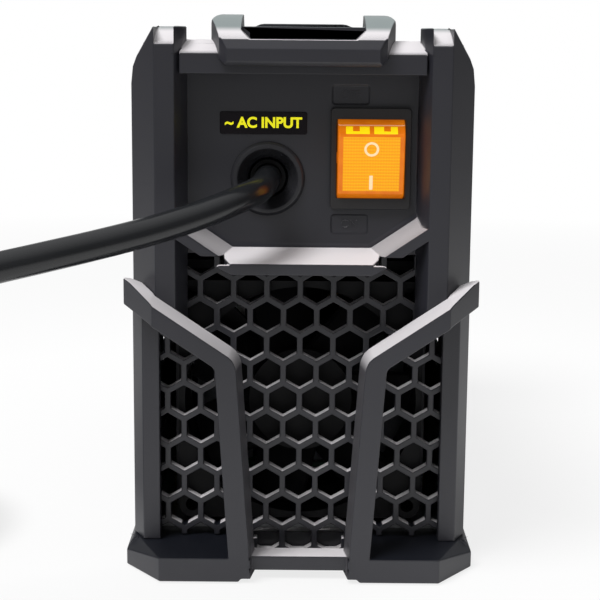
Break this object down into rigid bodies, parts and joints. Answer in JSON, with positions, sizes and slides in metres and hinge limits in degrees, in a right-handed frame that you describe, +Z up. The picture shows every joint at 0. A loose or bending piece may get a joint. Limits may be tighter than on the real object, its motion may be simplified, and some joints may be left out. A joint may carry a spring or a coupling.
{
  "type": "stick welding inverter",
  "caption": "Small portable stick welding inverter: black moulded end frames, carry handle, honeycomb rear grille with amber rocker switch and mains cord, front output sockets and current knob.",
  "frame": {"origin": "floor level under the middle of the machine, cord left out", "axes": "+Z up, +Y from the pictured rear (switch, gland and grille) to the front (knob and sockets), +X to the right of someone facing the rear"},
  "size_m": [0.2898, 0.3263, 0.178],
  "materials": {
    "black_plastic": "moulded with a fine grain",
    "red_plastic": "satin",
    "steel": "zinc plated",
    "painted_sheet": "fine textured powder coat",
    "amber_plastic": "translucent",
    "brass": "turned",
    "label_film": "gloss print",
    "cord_jacket": "smooth satin",
    "tie_strap": "woven hook and loop",
    "aluminium": "extruded",
    "smoked_window": "smoked clear",
    "dark_plastic": "moulded",
    "clear_lamp": "diffused",
    "circuit_board": "solder mask",
    "copper": "bare copper",
    "capacitor_can": "sleeved",
    "blue_plastic": "moulded",
    "ferrite": "sintered"
  },
  "bodies": {
    "case": {"rear_frame": "black_plastic", "rear_grille": "black_plastic", "rear_guard": "black_plastic", "front_frame": "black_plastic", "socket_plate": "black_plastic", "front_guard": "black_plastic", "front_bumpers": "black_plastic", "handle": "black_plastic", "handle_screws": "steel", "guard_screws": "steel", "frame_screws": "steel", "top_cover": "painted_sheet", "cover_screws": "steel", "base_tray": "steel", "fan_bracket": "steel", "switch_housing": "black_plastic", "switch_terminals": "brass", "supply_label": "label_film", "cable_gland": "cord_jacket", "gland_nut": "cord_jacket", "strain_relief": "cord_jacket", "mains_cord_run": "cord_jacket", "mains_cord_coil": "cord_jacket", "coil_tie": "tie_strap", "mains_plug": "cord_jacket", "plug_pins": "steel", "fan_frame": "black_plastic", "fan_screws": "steel", "potentiometer": "aluminium", "potentiometer_nut": "steel", "display_window": "smoked_window", "display_module": "dark_plastic", "indicator_lenses": "clear_lamp", "control_board": "circuit_board", "plus_socket": "red_plastic", "plus_insert": "brass", "minus_socket": "black_plastic", "minus_insert": "brass", "socket_nuts": "brass", "plus_busbar": "copper", "minus_busbar": "copper", "main_board": "circuit_board", "board_standoffs": "brass", "heat_sink_left": "aluminium", "heat_sink_right": "aluminium", "power_transistors": "dark_plastic", "bus_capacitors": "capacitor_can", "bridge_rectifier": "dark_plastic", "inrush_relay": "blue_plastic", "transformer_core": "ferrite", "transformer_winding": "copper", "output_choke": "copper", "earth_stud": "brass"},
    "rocker": {"switch_rocker": "amber_plastic"},
    "rotor": {"fan_rotor": "black_plastic"},
    "knob": {"current_knob": "black_plastic", "knob_shaft": "steel"}
  },
  "joints": [
    {"name": "switch_tilt", "type": "hinge", "parent": "case", "child": "rocker", "pos_m": [0.0216, -0.1, 0.1332], "axis": [1, 0, 0], "range_deg": [-22, 0]},
    {"name": "fan_spin", "type": "hinge", "parent": "case", "child": "rotor", "pos_m": [0, -0.0862, 0.053], "axis": [0, 1, 0], "continuous": true},
    {"name": "knob_turn", "type": "hinge", "parent": "case", "child": "knob", "pos_m": [-0.018, 0.11, 0.129], "axis": [0, 1, 0], "range_deg": [-135, 135]}
  ]
}
